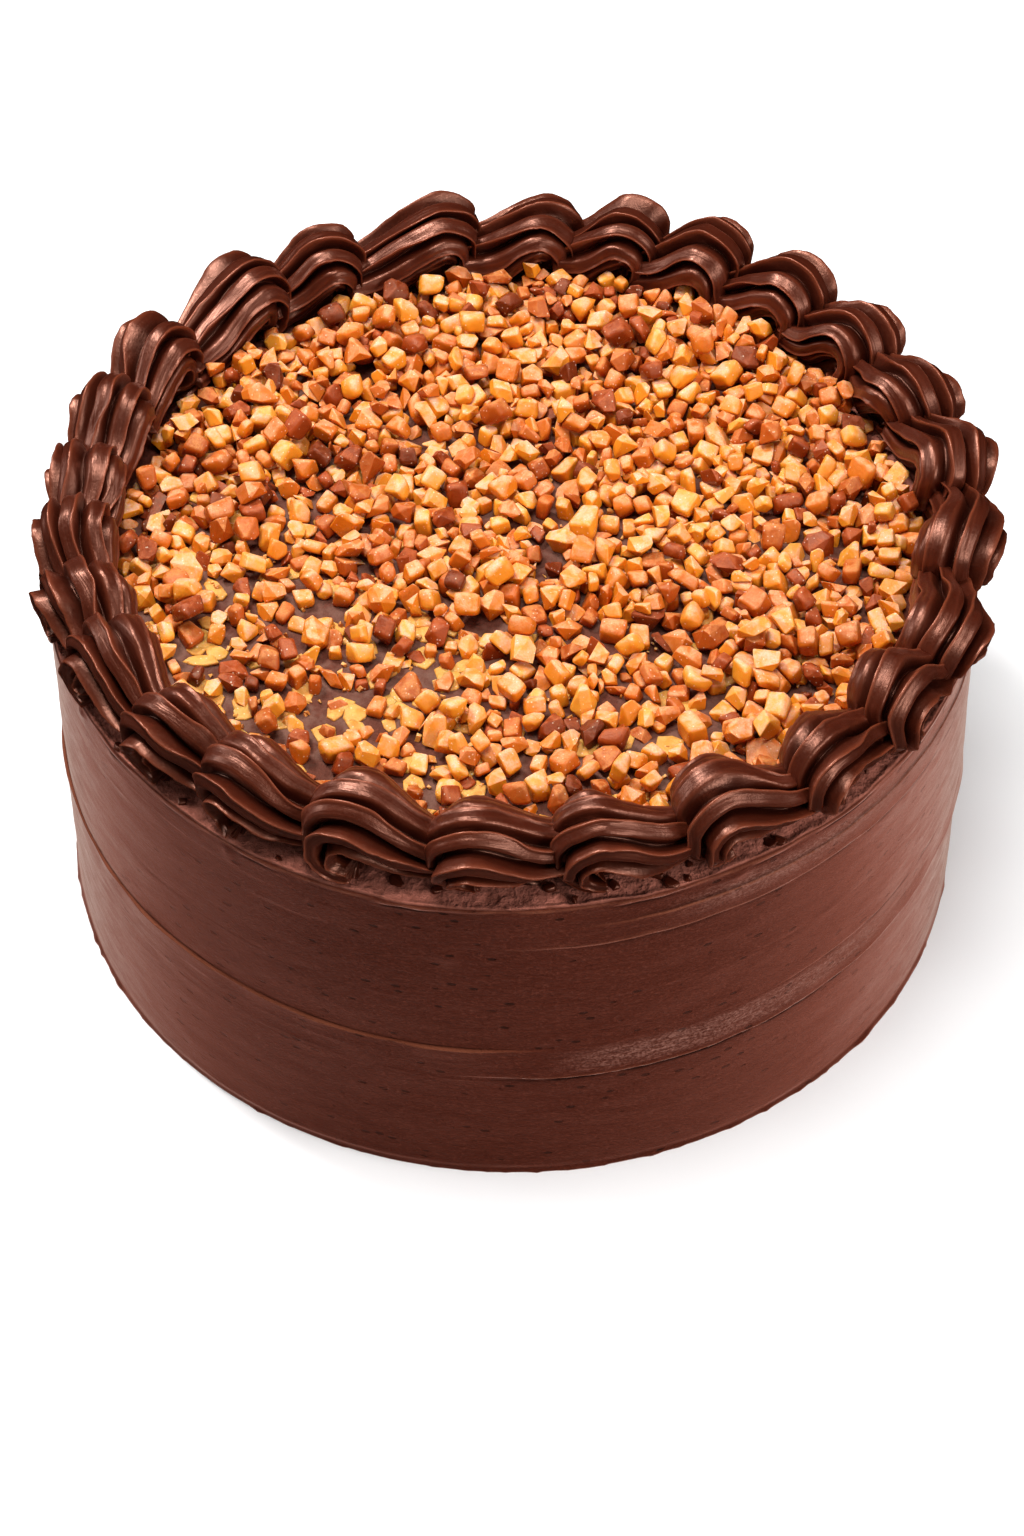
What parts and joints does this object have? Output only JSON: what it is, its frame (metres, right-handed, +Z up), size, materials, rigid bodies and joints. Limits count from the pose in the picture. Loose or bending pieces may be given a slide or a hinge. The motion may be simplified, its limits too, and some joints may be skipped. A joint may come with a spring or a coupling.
{
  "type": "layer cake",
  "caption": "Round uncut chocolate layer cake with smoothed buttercream sides, a border of piped shells and toffee bits on top.",
  "frame": {"origin": "middle of the flat underside", "axes": "+Z up, -Y towards the pictured front, +X to the right seen from the front"},
  "size_m": [0.224, 0.223, 0.1171],
  "materials": {
    "icing": "satin milk chocolate buttercream, smoothed with a spatula",
    "piped_icing": "satin dark chocolate buttercream, piped",
    "toffee": "amber toffee with a dusty bloom"
  },
  "bodies": {
    "root": {"frosted_cake": "icing", "shell_01": "piped_icing", "shell_02": "piped_icing", "shell_03": "piped_icing", "shell_04": "piped_icing", "shell_05": "piped_icing", "shell_06": "piped_icing", "shell_07": "piped_icing", "shell_08": "piped_icing", "shell_09": "piped_icing", "shell_10": "piped_icing", "shell_11": "piped_icing", "shell_12": "piped_icing", "shell_13": "piped_icing", "shell_14": "piped_icing", "shell_15": "piped_icing", "shell_16": "piped_icing", "shell_17": "piped_icing", "shell_18": "piped_icing", "shell_19": "piped_icing", "shell_20": "piped_icing", "shell_21": "piped_icing", "shell_22": "piped_icing", "shell_23": "piped_icing", "shell_24": "piped_icing", "shell_25": "piped_icing", "shell_26": "piped_icing"}
  },
  "joints": []
}
